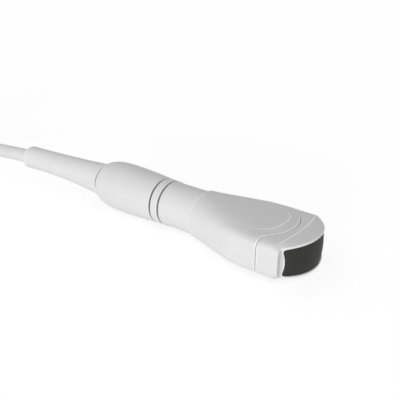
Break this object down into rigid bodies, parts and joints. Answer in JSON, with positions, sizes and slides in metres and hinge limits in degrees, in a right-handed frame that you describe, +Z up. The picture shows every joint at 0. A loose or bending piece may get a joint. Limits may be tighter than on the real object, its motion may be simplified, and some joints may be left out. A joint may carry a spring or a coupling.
{
  "type": "ultrasound transducer probe",
  "caption": "Hand-held curved-array ultrasound probe with a flared flat head, dark convex lens, bulged grip, strain relief and a thick grey cable wound into a tied hank that ends in a plug.",
  "frame": {"origin": "on the floor, under the middle of the probe's own box (lens to strain relief), cable left out", "axes": "+X from the strain relief to the lens, +Y across the broad face, +Z up, floor at Z = 0"},
  "size_m": [0.436, 0.0794, 0.0478],
  "materials": {
    "shell_grey": "satin moulded",
    "nose_grey": "satin moulded",
    "boot_grey": "matt moulded",
    "cable_grey": "satin jacket",
    "seal_grey": "matt",
    "lens_silicone": "satin",
    "matching_resin": "matt",
    "piezo_ceramic": "diced",
    "backing_resin": "matt",
    "aluminium": "machined",
    "shield_copper": "tinned and bare",
    "screw_steel": "plain",
    "board_green": "lacquered",
    "flex_amber": "clear film",
    "socket_black": "moulded",
    "tie_fabric": "hook and loop"
  },
  "bodies": {
    "root": {"acoustic_lens": "lens_silicone", "array_carrier": "aluminium", "backing_block": "backing_resin", "board_lower": "board_green", "board_screw_1": "screw_steel", "board_screw_2": "screw_steel", "board_upper": "board_green", "braid_ferrule": "shield_copper", "cable": "cable_grey", "cable_clamp_lower": "aluminium", "cable_clamp_upper": "aluminium", "cable_hank": "cable_grey", "cable_inner_end": "cable_grey", "cable_tail": "cable_grey", "cable_tie": "tie_fabric", "chassis_plate": "aluminium", "clamp_screw_left": "screw_steel", "clamp_screw_right": "screw_steel", "collar_ring": "shell_grey", "contact_block": "socket_black", "core_bundle": "cable_grey", "emi_shield": "shield_copper", "flex_circuit_lower": "flex_amber", "flex_circuit_upper": "flex_amber", "flex_socket_lower": "socket_black", "flex_socket_upper": "socket_black", "head_shell": "shell_grey", "matching_layer_inner": "matching_resin", "matching_layer_outer": "matching_resin", "neck_sleeve": "shell_grey", "nose_piece": "nose_grey", "piezo_array": "piezo_ceramic", "plug_board": "board_green", "plug_core_bundle": "cable_grey", "plug_screw_1": "screw_steel", "plug_screw_2": "screw_steel", "plug_screw_3": "screw_steel", "plug_screw_4": "screw_steel", "plug_shell_lower": "shell_grey", "plug_shell_upper": "shell_grey", "plug_shroud": "aluminium", "plug_strain_relief": "boot_grey", "rear_shell": "shell_grey", "seal_ring_front": "seal_grey", "seal_ring_rear": "seal_grey", "strain_relief_boot": "boot_grey", "wire_header_lower": "socket_black", "wire_header_upper": "socket_black"}
  },
  "joints": []
}
